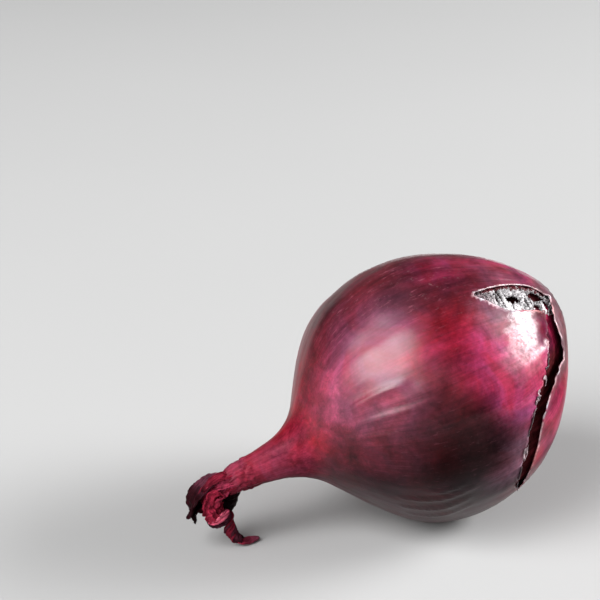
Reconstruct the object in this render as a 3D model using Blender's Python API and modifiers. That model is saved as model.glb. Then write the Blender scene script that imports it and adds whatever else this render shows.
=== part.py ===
"""A red onion lying on its side: bulb with a dried, twisted tail, torn papery outer skin, root tuft.

Sizes are in millimetres and angles in degrees until a vertex is placed; MM turns them into metres.
The onion is first turned about +Z, root end up, and then laid down with its root end towards +X.
The origin is the middle of the small flat spot that it rests on.
"""

import math
import random

import bmesh
import bpy
from mathutils import Vector
from mathutils.geometry import interpolate_bezier

MM = 0.001

# Outline of the outer skin, (radius, height along the axis): Bezier knots between their handles
ROOT_RIM = (8.5, 39.2)
ROOT_RIM_HANDLE = (10.2, 39.0)
EQUATOR = (36.7, -0.3)
EQUATOR_HANDLES = ((36.7, 26.2), (36.7, -22.2))
NECK_FLARE = (12.1, -36.9)
NECK_FLARE_HANDLES = ((20.9, -30.6), (5.1, -42.0))
NECK_END = (3.4, -63.0)
NECK_END_HANDLE = (5.0, -49.0)

# How the turned shape lies: its axis rises towards the root end and bends a little
BULB_CENTRE = Vector((0.15, 0.0, 36.1))
PITCH = math.radians(15.3)
ROOT_LIFT = 6.9
ROOT_LIFT_START = 12.0
ROOT_LIFT_END = 40.0
NECK_HUMP = 1.5
NECK_HUMP_PLACE = -27.0
NECK_HUMP_REACH = 14.0
NECK_DROOP = 1.6
NECK_DROOP_SPAN = (-29.0, -45.0)

# Swelling round the bulb, as (share of the radius, lobes, phase)
SWELLS = ((0.0040, 5, 0.6), (0.0028, 9, 2.1), (0.0016, 16, 4.0))

# Layers
SKIN_THICKNESS = 0.6
LAYER_GAP = 0.35
SKIN_MOUTH = -60.6
MOUTH_SLANT = 1.8
ROOT_RECESS = ((8.9, 37.4), (7.9, 35.2), (0.0, 35.0))
NECK_TIP = ((1.6, -63.9), (0.0, -64.2))
SEGMENTS = 44
SPAN_STEPS = (11, 11, 7)
MERGE_DISTANCE = 0.01

# Teeth of the frayed neck mouth, as (height, lobes round it, phase), and their share at the root rim
TEETH = ((0.54, 3, 1.0), (0.36, 8, 0.0))
RIM_TEETH = 0.4

# The tear in the skin: places (height along the axis, angle from the top towards the front) down its
# root side and its bulb side, from the tip of the slit near the top to the foot of the crack
TEAR_ROOT_SIDE = ((12.7, 27.0), (22.0, 25.0), (31.0, 26.5), (34.8, 38.0), (33.2, 50.0),
                  (31.4, 61.0), (31.0, 72.0), (29.6, 79.8), (25.4, 82.0), (20.0, 88.0),
                  (15.6, 98.0), (11.0, 121.0), (9.0, 137.0))
TEAR_BULB_SIDE = ((12.1, 28.6), (18.5, 39.0), (27.5, 45.0), (31.3, 50.5), (29.3, 60.0),
                  (26.4, 67.0), (24.2, 73.0), (21.3, 77.5), (17.8, 82.0), (14.4, 88.0),
                  (9.2, 104.0), (6.9, 122.0), (8.4, 136.0))
TEAR_STEPS = 3
TEAR_REACH = 2.2

# Dried leaves of the tail: path, half widths along it, direction of the width
HOOD = (((-56.0, 0.0, 19.3), (-60.0, 0.0, 19.5), (-64.0, -0.2, 19.3), (-67.9, -0.4, 16.5),
         (-69.4, -0.4, 12.8), (-68.4, -0.3, 9.4), (-68.0, -0.3, 7.2)),
        (1.3, 1.8, 3.3, 3.9, 3.6, 2.4, 0.5), (0.10, 1.0, 0.10))
SPUR = (((-66.8, -1.2, 14.0), (-69.0, -1.6, 11.8), (-71.0, -1.9, 10.2)), (1.8, 1.4, 0.5), (0.2, 1.0, 0.4))
NEAR_LEAF = (((-56.5, -0.6, 18.5), (-60.4, -1.2, 17.7), (-64.4, -2.5, 16.4), (-65.7, -2.7, 13.2),
              (-64.8, -2.1, 10.2), (-61.6, -1.1, 8.6)),
             (1.2, 1.7, 2.7, 2.8, 2.3, 1.6), (0.85, 0.4, 0.35))
FAR_LEAF = (((-59.2, 0.9, 18.2), (-58.6, 1.7, 15.9), (-58.3, 2.2, 13.3), (-58.8, 1.9, 10.9),
             (-60.0, 0.8, 8.8)),
            (1.2, 2.3, 3.6, 3.1, 1.7), (0.8, 0.5, 0.1))
WRAP = (((-65.4, -1.2, 8.4), (-63.4, -2.9, 8.4), (-60.6, -2.5, 9.4), (-59.4, -0.8, 10.2)),
        (0.9, 1.4, 1.4, 0.9), (-0.3, 0.2, 1.0))
LEAF_THICKNESS = 0.8
LEAF_CUP = 0.35
LEAF_STEPS = 3
LEAF_COLUMNS = 4
KNOT = Vector((-61.9, -0.8, 9.2))
KNOT_RADII = Vector((3.1, 2.1, 2.3))

# The rope that the leaves twist into: two strands wound round one path, and the flat tip
ROPE_PATH = ((-60.6, -0.6, 9.4), (-59.4, -0.9, 7.6), (-58.7, -1.6, 4.6), (-57.8, -2.9, 2.8),
             (-56.2, -4.0, 1.9))
ROPE_STRAND_RADIUS = 1.35
ROPE_WINDING_RADIUS = 0.95
ROPE_TURNS = 1.5
ROPE_STEPS = 8
ROPE_TIGHTENING = 0.5
ROPE_THINNING = 0.25
TIP = (((-57.6, -3.6, 1.9), (-55.8, -3.8, 1.4), (-53.4, -3.2, 1.1), (-50.8, -2.7, 0.9)),
       (0.9, 1.1, 1.1, 0.5), (0.2, 0.8, 0.45))

# Root tuft: a small plate in the recess with short dried roots
PLATE_RADIUS = 7.2
PLATE_SPAN = (35.35, 36.5)
PLATE_EDGE = (0.5, 0.4)
ROOT_COUNT = 44
ROOT_FOOT = 35.85
ROOT_MARGIN = 1.0
ROOT_TURN = 137.5
ROOT_RADIUS = 0.45
ROOT_TAPER = 0.36
ROOT_LENGTH = (2.6, 3.8)
ROOT_LEAN = 0.3
ROOT_CURL = 0.45
ROOT_STEPS = 3
ROOT_SEED = 7

# Colours (linear), roughness
SKIN_LOOK = ((0.230, 0.020, 0.042), 0.35)
BULB_LOOK = ((0.330, 0.060, 0.110), 0.40)
ROOTS_LOOK = ((0.300, 0.190, 0.100), 0.85)


def clear_scene():
    for old in list(bpy.data.objects):
        bpy.data.objects.remove(old, do_unlink=True)


def new_collection(name):
    made = bpy.data.collections.new(name)
    bpy.context.scene.collection.children.link(made)
    return made


def new_object(name, mesh, collection):
    made = bpy.data.objects.new(name, mesh)
    collection.objects.link(made)
    return made


def evaluated_mesh(source):
    """The object's mesh with its modifiers, its loose caps welded on; the object is removed."""
    graph = bpy.context.evaluated_depsgraph_get()
    mesh = bpy.data.meshes.new_from_object(source.evaluated_get(graph))
    bpy.data.objects.remove(source, do_unlink=True)
    bm = bmesh.new()
    bm.from_mesh(mesh)
    bmesh.ops.remove_doubles(bm, verts=bm.verts, dist=MERGE_DISTANCE * MM)
    bmesh.ops.recalc_face_normals(bm, faces=bm.faces)
    bm.to_mesh(mesh)
    bm.free()
    return mesh


def smooth_line(points, steps):
    """A Catmull-Rom curve through points, with this many steps between each two."""
    knots = [Vector(point) for point in points]
    knots = [2 * knots[0] - knots[1]] + knots + [2 * knots[-1] - knots[-2]]
    line = []
    for a, b, c, d in zip(knots, knots[1:], knots[2:], knots[3:]):
        for step in range(steps):
            t = step / steps
            line.append(0.5 * (2 * b + (c - a) * t + (2 * a - 5 * b + 4 * c - d) * t ** 2
                               + (3 * b - a - 3 * c + d) * t ** 3))
    line.append(knots[-2])
    return line


def ease(x):
    x = min(max(x, 0.0), 1.0)
    return x * x * (3 - 2 * x)


def skin_outline():
    """(radius, height) down the skin's outer side, from the root rim to the end of the neck."""
    spans = ((ROOT_RIM, ROOT_RIM_HANDLE, EQUATOR_HANDLES[0], EQUATOR),
             (EQUATOR, EQUATOR_HANDLES[1], NECK_FLARE_HANDLES[0], NECK_FLARE),
             (NECK_FLARE, NECK_FLARE_HANDLES[1], NECK_END_HANDLE, NECK_END))
    line = [Vector(ROOT_RIM)]
    for knots, steps in zip(spans, SPAN_STEPS):
        line += interpolate_bezier(*(Vector(knot) for knot in knots), steps + 1)[1:]
    return line


def inset(line, depth):
    """The outline moved inwards by depth along its own normal."""
    moved = []
    for i, point in enumerate(line):
        along = (line[min(i + 1, len(line) - 1)] - line[max(i - 1, 0)]).normalized()
        moved.append(point + depth * Vector((along.y, -along.x)))
    return moved


def outline_radius(height):
    line = skin_outline()
    for upper, lower in zip(line, line[1:]):
        if upper.y >= height >= lower.y:
            share = (upper.y - height) / (upper.y - lower.y)
            return upper.x + share * (lower.x - upper.x)
    return line[0].x


def axis_rise(height):
    """How far the axis is bent up at this height along it."""
    root = max(0.0, height - ROOT_LIFT_START) / (ROOT_LIFT_END - ROOT_LIFT_START)
    hump = max(0.0, 1 - ((height - NECK_HUMP_PLACE) / NECK_HUMP_REACH) ** 2)
    start, end = NECK_DROOP_SPAN
    droop = ease((start - height) / (start - end))
    return ROOT_LIFT * root ** 2 + NECK_HUMP * hump ** 2 - NECK_DROOP * droop


def laid_down(co):
    """A point of the upright turned shape, in mm, where it comes in the lying onion, in mm."""
    angle = math.atan2(co.y, co.x)
    swell = 1 + sum(size * math.sin(lobes * angle + phase) for size, lobes, phase in SWELLS)
    up = Vector((-math.sin(PITCH), 0, math.cos(PITCH)))
    axis = Vector((math.cos(PITCH), 0, math.sin(PITCH)))
    place = BULB_CENTRE + axis * co.z + up * (co.x * swell + axis_rise(co.z))
    place.y -= co.y * swell
    return place


def flatten_below(bm, floor):
    """A flat spot at z = floor: an edge loop is cut there, and what is lower is brought up to it."""
    everything = bm.verts[:] + bm.edges[:] + bm.faces[:]
    bmesh.ops.bisect_plane(bm, geom=everything, dist=0.000001, plane_co=(0, 0, floor), plane_no=(0, 0, 1))
    for vert in bm.verts:
        vert.co.z = max(vert.co.z, floor)


def turned_mesh(name, line, floor, ragged_ends=False):
    """The outline turned about the axis and laid down with its flat spot; the mouth is longer on top."""
    profile = bpy.data.meshes.new(name)
    places = [(point.x * MM, 0, point.y * MM) for point in line]
    profile.from_pydata(places, [(i, i + 1) for i in range(len(places) - 1)], [])
    upright = new_object(name, profile, bpy.context.scene.collection)
    screw = upright.modifiers.new("turn", "SCREW")
    screw.steps = screw.render_steps = SEGMENTS
    screw.use_merge_vertices = True
    screw.merge_threshold = MERGE_DISTANCE * MM
    mesh = evaluated_mesh(upright)
    top, bottom = line[0].y, line[-1].y
    bm = bmesh.new()
    bm.from_mesh(mesh)
    for vert in bm.verts:
        co = vert.co / MM
        angle = math.atan2(co.y, co.x)
        tooth = sum(size * math.sin(lobes * angle + phase) for size, lobes, phase in TEETH)
        if ragged_ends and top - co.z < MERGE_DISTANCE:
            co.z += RIM_TEETH * tooth
        if ragged_ends and co.z - bottom < MERGE_DISTANCE:
            co.z += tooth - MOUTH_SLANT * math.cos(angle)
        vert.co = laid_down(co) * MM
    flatten_below(bm, floor * MM)
    bm.to_mesh(mesh)
    bm.free()
    return mesh


def finish(made, look):
    """Smooth shading and the piece's own material."""
    colour, roughness = look
    material = bpy.data.materials.new(made.name)
    material.use_nodes = True
    shader = material.node_tree.nodes["Principled BSDF"]
    shader.inputs["Base Color"].default_value = (*colour, 1)
    shader.inputs["Roughness"].default_value = roughness
    shader.inputs["Metallic"].default_value = 0
    made.data.materials.clear()
    made.data.materials.append(material)
    made.data.shade_smooth()
    made.data.set_sharp_from_angle(angle=math.radians(40))


def join_in(body, pieces):
    """Fuses every object of a collection into the body with one union, and removes them."""
    union = body.modifiers.new("join", "BOOLEAN")
    union.operation = "UNION"
    union.operand_type = "COLLECTION"
    union.collection = pieces
    union.solver = "EXACT"
    graph = bpy.context.evaluated_depsgraph_get()
    fused = bpy.data.meshes.new_from_object(body.evaluated_get(graph))
    body.modifiers.clear()
    body.data = fused
    for piece in list(pieces.objects):
        bpy.data.objects.remove(piece, do_unlink=True)
    bpy.data.collections.remove(pieces)


def dried_leaf(name, leaf, collection):
    """A strip of leaf: a grid bent along its path, cupped across, and given its thickness."""
    path, half_widths, width_way = leaf
    line = smooth_line(path, LEAF_STEPS)
    widths = smooth_line([(width, 0) for width in half_widths], LEAF_STEPS)
    mesh = bpy.data.meshes.new(name)
    bm = bmesh.new()
    bmesh.ops.create_grid(bm, x_segments=len(line) - 1, y_segments=LEAF_COLUMNS, size=1)
    for vert in bm.verts:
        i = round((vert.co.x + 1) / 2 * (len(line) - 1))
        along = (line[min(i + 1, len(line) - 1)] - line[max(i - 1, 0)]).normalized()
        across = (Vector(width_way) - along * along.dot(Vector(width_way))).normalized()
        cup = along.cross(across) * (1 - vert.co.y ** 2) * LEAF_CUP * widths[i].x
        vert.co = (line[i] + across * vert.co.y * widths[i].x + cup) * MM
    bm.to_mesh(mesh)
    bm.free()
    strip = new_object(name, mesh, collection)
    solidify = strip.modifiers.new("thickness", "SOLIDIFY")
    solidify.thickness = LEAF_THICKNESS * MM
    solidify.offset = 0
    fitted = evaluated_mesh(strip)
    new_object(name, fitted, collection)


def tube(name, line, radii, collection, resolution=1):
    """A round strand along a line, as thick as radii say, with closed ends."""
    curve = bpy.data.curves.new(name, "CURVE")
    curve.dimensions = "3D"
    curve.bevel_depth = MM
    curve.bevel_resolution = resolution
    curve.use_fill_caps = True
    spline = curve.splines.new("POLY")
    spline.points.add(len(line) - 1)
    for point, place, radius in zip(spline.points, line, radii):
        point.co = (*(place * MM), 1)
        point.radius = radius
    strand = new_object(name, curve, collection)
    new_object(name, evaluated_mesh(strand), collection)


def ellipsoid(name, centre, radii, collection):
    mesh = bpy.data.meshes.new(name)
    bm = bmesh.new()
    bmesh.ops.create_uvsphere(bm, u_segments=14, v_segments=8, radius=1)
    for vert in bm.verts:
        vert.co = (centre + vert.co * radii) * MM
    bm.to_mesh(mesh)
    bm.free()
    new_object(name, mesh, collection)


def rope(collection):
    """Two strands wound round the rope's path."""
    line = smooth_line(ROPE_PATH, ROPE_STEPS)
    for strand in range(2):
        wound = []
        radii = []
        for i, place in enumerate(line):
            share = i / (len(line) - 1)
            along = (line[min(i + 1, len(line) - 1)] - line[max(i - 1, 0)]).normalized()
            across = along.cross(Vector((0, 1, 0))).normalized()
            turn = math.radians(360) * ROPE_TURNS * share + math.radians(180) * strand
            offset = across * math.cos(turn) + along.cross(across) * math.sin(turn)
            place = place + offset * ROPE_WINDING_RADIUS * (1 - ROPE_TIGHTENING * share)
            radius = ROPE_STRAND_RADIUS * (1 - ROPE_THINNING * share)
            place.z = max(place.z, radius + 0.1)
            wound.append(place)
            radii.append(radius)
        tube(f"rope_strand_{strand}", wound, radii, collection)


def build_bulb(onion):
    """The bulb under its skin, its neck, and the dried tail that grows out of the neck."""
    depth = SKIN_THICKNESS + LAYER_GAP
    line = [point for point in inset(skin_outline(), depth) if point.x > ROOT_RECESS[0][0] or point.y < 0]
    recess = [Vector(point) for point in reversed(ROOT_RECESS)]
    line = recess + line + [Vector(point) for point in NECK_TIP]
    bulb = new_object("bulb", turned_mesh("bulb", line, depth), onion)
    strands = new_collection("tail_strands")
    for name, leaf in (("hood", HOOD), ("spur", SPUR), ("near_leaf", NEAR_LEAF), ("far_leaf", FAR_LEAF),
                       ("wrap", WRAP), ("tip", TIP)):
        dried_leaf(name, leaf, strands)
    ellipsoid("knot", KNOT, KNOT_RADII, strands)
    rope(strands)
    join_in(bulb, strands)
    finish(bulb, BULB_LOOK)


def tear_cutter(cutters):
    """A wall that follows the tear round the bulb, reaching through the skin and into no more than it."""
    root_side = smooth_line(TEAR_ROOT_SIDE, TEAR_STEPS)
    bulb_side = smooth_line(TEAR_BULB_SIDE, TEAR_STEPS)
    verts = []
    for root, bulb in zip(root_side, bulb_side):
        for depth in (-TEAR_REACH, TEAR_REACH):
            for height, angle in (root, bulb):
                radius = outline_radius(height) + depth
                turn = math.radians(angle)
                corner = Vector((radius * math.cos(turn), radius * math.sin(turn), height))
                verts.append(laid_down(corner) * MM)
    faces = [(0, 1, 3, 2)]
    last = len(verts) - 4
    for a in range(0, last, 4):
        b = a + 4
        faces += [(a, b, b + 1, a + 1), (a + 1, b + 1, b + 3, a + 3)]
        faces += [(a + 3, b + 3, b + 2, a + 2), (a + 2, b + 2, b, a)]
    faces.append((last, last + 2, last + 3, last + 1))
    mesh = bpy.data.meshes.new("tear")
    mesh.from_pydata(verts, [], faces)
    bm = bmesh.new()
    bm.from_mesh(mesh)
    bmesh.ops.recalc_face_normals(bm, faces=bm.faces)
    bm.to_mesh(mesh)
    bm.free()
    cutter = new_object("tear", mesh, cutters)
    cutter.hide_render = True
    cutter.display_type = "WIRE"
    return cutter


def build_outer_skin(onion, cutters):
    """The papery outer skin, open round the roots and at the neck, with the tear near its root end."""
    line = [point for point in skin_outline() if point.y > SKIN_MOUTH]
    line.append(Vector((outline_radius(SKIN_MOUTH), SKIN_MOUTH)))
    skin = new_object("outer_skin", turned_mesh("outer_skin", line, 0, ragged_ends=True), onion)
    solidify = skin.modifiers.new("thickness", "SOLIDIFY")
    solidify.thickness = SKIN_THICKNESS * MM
    solidify.offset = -1
    cut = skin.modifiers.new("tear", "BOOLEAN")
    cut.operation = "DIFFERENCE"
    cut.object = tear_cutter(cutters)
    cut.solver = "EXACT"
    finish(skin, SKIN_LOOK)


def root_line(i, draw):
    """The path of one root: it leans outwards from the plate and curls."""
    distance = (PLATE_RADIUS - ROOT_MARGIN) * math.sqrt((i + 0.5) / ROOT_COUNT)
    angle = i * math.radians(ROOT_TURN)
    out = Vector((math.cos(angle), math.sin(angle), 0))
    foot = distance * out + Vector((0, 0, ROOT_FOOT))
    way = Vector((0, 0, 1)) + ROOT_LEAN * (1 - distance / PLATE_RADIUS) * out
    curl = ROOT_CURL * Vector((draw.uniform(-1, 1), draw.uniform(-1, 1), 0))
    length = draw.uniform(*ROOT_LENGTH)
    shares = [step / ROOT_STEPS for step in range(ROOT_STEPS + 1)]
    return [laid_down(foot + length * (share * way + share ** 2 * curl)) for share in shares]


def build_root_tuft(onion):
    """A small plate with short dried roots."""
    draw = random.Random(ROOT_SEED)
    bottom, top = PLATE_SPAN
    edge_width, edge_height = PLATE_EDGE
    side = ((0, top), (PLATE_RADIUS - edge_width, top), (PLATE_RADIUS, top - edge_height),
            (PLATE_RADIUS, bottom), (0, bottom))
    line = [Vector(point) for point in side]
    tuft = new_object("root_tuft", turned_mesh("root_tuft", line, 0), onion)
    radii = [ROOT_RADIUS * (1 - ROOT_TAPER * step / ROOT_STEPS) for step in range(ROOT_STEPS + 1)]
    roots = new_collection("roots")
    for i in range(ROOT_COUNT):
        tube(f"root_{i}", root_line(i, draw), radii, roots, resolution=0)
    join_in(tuft, roots)
    finish(tuft, ROOTS_LOOK)


def main():
    clear_scene()
    onion = new_collection("red_onion")
    cutters = new_collection("cutters")
    build_bulb(onion)
    build_outer_skin(onion, cutters)
    build_root_tuft(onion)


main()
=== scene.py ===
"""The looks of a red onion: torn glossy skin, inner layer, twisted dried tail and root tuft.

Sizes are in millimetres and angles in degrees, as in the solids, until a vertex is placed; MM turns
them into metres. A place on the skin is (arc, angle): the way down the outline from the rim of the
root opening, and the angle from the top towards the front. A height is taken along the bulb's axis,
from its widest ring towards the roots.
"""

import math
import random

import bmesh
import bpy
import numpy as np
from mathutils import Matrix, Vector, noise
from mathutils.geometry import delaunay_2d_cdt, interpolate_bezier

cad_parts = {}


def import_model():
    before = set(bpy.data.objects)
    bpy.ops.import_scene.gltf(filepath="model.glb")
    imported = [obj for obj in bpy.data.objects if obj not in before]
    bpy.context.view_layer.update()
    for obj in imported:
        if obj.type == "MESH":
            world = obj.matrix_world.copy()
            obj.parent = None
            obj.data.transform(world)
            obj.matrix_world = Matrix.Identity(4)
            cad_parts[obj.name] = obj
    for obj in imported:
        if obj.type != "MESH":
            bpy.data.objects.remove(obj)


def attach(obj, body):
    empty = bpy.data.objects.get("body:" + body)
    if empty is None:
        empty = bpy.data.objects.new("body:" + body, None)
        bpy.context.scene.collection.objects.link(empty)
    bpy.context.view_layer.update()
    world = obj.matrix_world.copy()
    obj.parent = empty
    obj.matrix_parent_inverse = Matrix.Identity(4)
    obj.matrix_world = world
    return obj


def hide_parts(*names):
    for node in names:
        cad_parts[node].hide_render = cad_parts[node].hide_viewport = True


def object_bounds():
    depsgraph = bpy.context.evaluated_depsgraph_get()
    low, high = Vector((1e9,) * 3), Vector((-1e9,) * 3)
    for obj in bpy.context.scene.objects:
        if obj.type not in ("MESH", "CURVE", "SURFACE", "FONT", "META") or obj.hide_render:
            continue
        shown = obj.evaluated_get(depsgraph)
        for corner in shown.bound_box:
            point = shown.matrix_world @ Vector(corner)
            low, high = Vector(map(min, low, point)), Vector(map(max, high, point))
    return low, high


MM = 0.001

# The bulb's outline, (radius, height), and how it lies: the values of the solids
OUTLINE = (
    ((8.5, 39.2), (10.2, 39), (36.7, 26.2), (36.7, -0.3)),
    ((36.7, -0.3), (36.7, -22.2), (20.9, -30.6), (12.1, -36.9)),
    ((12.1, -36.9), (5.1, -42), (5, -49), (3.4, -63)))
CENTRE = np.array((0.15, 0, 36.1))
PITCH = math.radians(15.3)
AXIS = np.array((math.cos(PITCH), 0, math.sin(PITCH)))
UP = np.array((-math.sin(PITCH), 0, math.cos(PITCH)))
FRONT = np.array((0, -1, 0))
ROOT_LIFT, ROOT_LIFT_START, ROOT_LIFT_END = 6.9, 12, 40
NECK_HUMP, NECK_HUMP_PLACE, NECK_HUMP_REACH = 1.5, -27, 14
NECK_DROOP, NECK_DROOP_START, NECK_DROOP_END = 1.6, -29, -45
SWELLS = ((0.004, 5, 0.6), (0.0028, 9, 2.1), (0.0016, 16, 4))
SKIN_MOUTH = -60.6
MOUTH_DROOP_START = -57.5
MOUTH_DROOP = 0.05
INNER_DEPTH = 0.95
INNER_TOP, INNER_END = 38.4, -62.6
ROOT_RECESS = ((8.9, 37.4), (7.9, 35.2), (0.05, 35))

# Thicknesses of the skin and of the torn film, and how far the skin keeps inside the solids' box
SKIN_THICKNESS = 0.3
FILM_THICKNESS = 0.08
SKIN_MARGIN = 0.03

# The net of the skin: its rows stand closer past the height where the neck crumples, and a strip
# along the tear has twice the vertices, which keep clear of the torn edge itself
SKIN_ROWS, NECK_ROWS, SKIN_COLUMNS = 132, 32, 256
CRUMPLED_FROM = -50
MM_PER_DEGREE = math.radians(1) * 36
TEAR_CLEARANCE, TEAR_STRIP = 0.4, 3.5
INNER_ROWS, INNER_COLUMNS = 120, 180

# The tear, (height, angle): its root side and its bulb side, from the slit's tip to the crack's foot
TEAR_ROOT_SIDE = (
    (12.7, 27), (22, 25), (31, 26.5), (34.8, 38), (33.2, 50),
    (31.4, 61), (31, 72), (29.6, 79.8), (25.4, 82), (20, 88),
    (15.6, 98), (11, 121), (9, 137))
TEAR_BULB_SIDE = (
    (12.1, 28.6), (18.5, 39), (27.5, 45), (31.3, 50.5), (29.3, 60),
    (26.4, 67), (24.2, 73), (21.3, 77.5), (17.8, 82), (14.4, 88),
    (9.2, 104), (6.9, 122), (8.4, 136))

# Stretches of the tear by angle: (from, to, fade in, fade out)
FLAP_SPAN = (30, 100, 12, 20)
TURNED_IN_SPAN = (46, 67, 6, 6)
RIBBED_SPAN = (58, 80, 5, 6)
HIDDEN_LIP_SPAN = (46, 66, 3, 3)
CRACK_START = 69
RIB_SPACING = 0.75

# Waves of the skin and teeth of its two rims: (size, cells to the radian, cells to the mm, seed)
BULB_WAVES = ((0.13, 7, 0.02, 1), (0.05, 24, 0.03, 7))
NECK_WAVES = ((0.12, 1.2, 0.08, 3), (0.02, 4, 0.08, 5))
MOUTH_TEETH = ((1.5, 2.5, 0, 2), (0.9, 9, 0, 6))
RIM_TEETH = ((0.7, 3, 0, 9), (0.5, 9, 0, 12))

# Places on the skin, (height, angle): a low swelling beside the crack, and the highlight on the left
SHOULDER = (22, 106)
LEFT_HIGHLIGHT = (-17, 34)

# Raised creases of the skin: (start, end, half width, height), each end as (height, angle)
CREASES = (
    ((-30, 54), (-14, 51.5), 1.5, 0.6), ((-29, 65), (-12, 63.5), 1.2, 0.38),
    ((-24.5, 119), (-5.5, 108.5), 1, 0.62), ((-24, 129), (-6.5, 114.5), 1, 0.6),
    ((-22, 137), (-6, 121), 1, 0.5), ((-18.5, 109.5), (-8, 105), 0.8, 0.45),
    ((-34, 72), (-18, 75), 1.2, 0.22), ((-31, 44), (-20, 42), 1.2, 0.2),
    ((-20, -40), (0, -46), 1.2, 0.35), ((-10, -120), (12, -112), 1.2, 0.35),
    ((4, 14), (27, 16), 0.8, 0.25), ((10, 18), (30, 20), 0.6, 0.22))

# The film in the slit: its edges and ends, and its dark holes as (height, share of the way from the
# upper to the lower edge, half length, half share)
SLIT_TIP, SLIT_END = 12.9, 35.4
FILM_ROWS, FILM_COLUMNS = 150, 70
SLIT_UPPER = ((12.7, 26), (17, 23.5), (22, 22.5), (31.5, 24), (35.6, 34), (37, 42))
SLIT_LOWER = ((12.7, 31.5), (15, 37), (18.5, 41.5), (27.5, 47.5), (32.4, 53), (37, 56))
SLIT_HOLES = (
    (23, 0.55, 2.3, 0.12), (31, 0.42, 2.7, 0.21), (29.6, 0.78, 1.3, 0.12), (19.6, 0.36, 0.5, 0.22),
    (18.2, 0.45, 0.3, 0.2), (20.9, 0.48, 0.35, 0.22), (33.4, 0.66, 0.9, 0.2), (26.3, 0.6, 0.5, 0.08))

# Scraps of film along the crack: where they start, and their way as (arc, way round)
FRINGE_TOP = 25.5
FRINGE_START = 70
FRINGE_WAY = (-0.75, 0.66)
FRINGE_COLUMNS = 11

# Camera and light
CAMERA_AIM = Vector((-0.03, 0.021, 0.0582))
CAMERA_AZIMUTH = math.radians(-21)
CAMERA_ELEVATION = math.radians(22)
CAMERA_DISTANCE = 0.46
CAMERA_LENS = 100.7
CAMERA_SENSOR = 36
LIGHT_DISTANCE = 1.8
LIGHT_AIM = Vector((0, 0, 0.036))
AMBIENT = 0.12
FLOOR_GREY = 0.42
FLOOR_REACH = 6
FLOOR_GAP = 0.00002

# Pigments (linear)
BLACK = (0.006, 0.0015, 0.002)
DEEP = (0.022, 0.003, 0.005)
MAROON = (0.08, 0.006, 0.012)
CRIMSON = (0.19, 0.003, 0.012)
MAGENTA = (0.26, 0.01, 0.056)
BLOOD = (0.16, 0.0015, 0.006)
ROSE = (0.3, 0.034, 0.075)
PINK = (0.31, 0.024, 0.085)
FLANK = (0.26, 0.013, 0.043)
RUSSET = (0.28, 0.025, 0.052)
NECK_RED = (0.27, 0.028, 0.055)
MAUVE = (0.15, 0.038, 0.06)
FLAP = (0.13, 0.045, 0.058)
DIM_FLAP = (0.075, 0.02, 0.027)
# Pink under the left highlight: partly the skin's own pink, partly painted sheen
PINK_UNDER_HIGHLIGHT = (0.235, 0.03, 0.066)
# Dark wine: painted shade where the skin turns in at the tear
TURNED_IN_SHADE = (0.105, 0.005, 0.024)
LILAC = (0.24, 0.085, 0.122)
PAPER = (0.19, 0.095, 0.105)
SCRATCH = (0.33, 0.09, 0.13)
FRAY = (0.42, 0.3, 0.33)
# Pale lip of the tear: partly the edge's own colour, partly painted highlight where it catches light
LIP = (0.72, 0.42, 0.46)
# Silver: partly the film's pale colour, partly painted reflection
SILVER = (0.78, 0.75, 0.77)
# Dark grey of the film, mostly painted shade in its folds, round its holes and in the crack
DARK_FILM_AND_SHADE = (0.03, 0.022, 0.026)
INNER_MAGENTA = (0.055, 0.004, 0.015)
# Brighter magenta: painted light at the flap's foot, where the flap shades the layer
INNER_PAINTED_LIGHT = (0.42, 0.022, 0.08)
# Painted shade in the hollow of the crack and under the slit
HOLLOW_SHADE = (0.055, 0.008, 0.01)
DARK_LEAF = (0.014, 0.0014, 0.003)
RED_LEAF = (0.23, 0.014, 0.034)
# Pale pink: partly the leaf's own colour, partly painted highlight
PINK_LEAF_HIGHLIGHT = (0.64, 0.12, 0.19)
DUSKY = (0.11, 0.028, 0.048)
ROSY_LEAF = (0.38, 0.045, 0.095)

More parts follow.
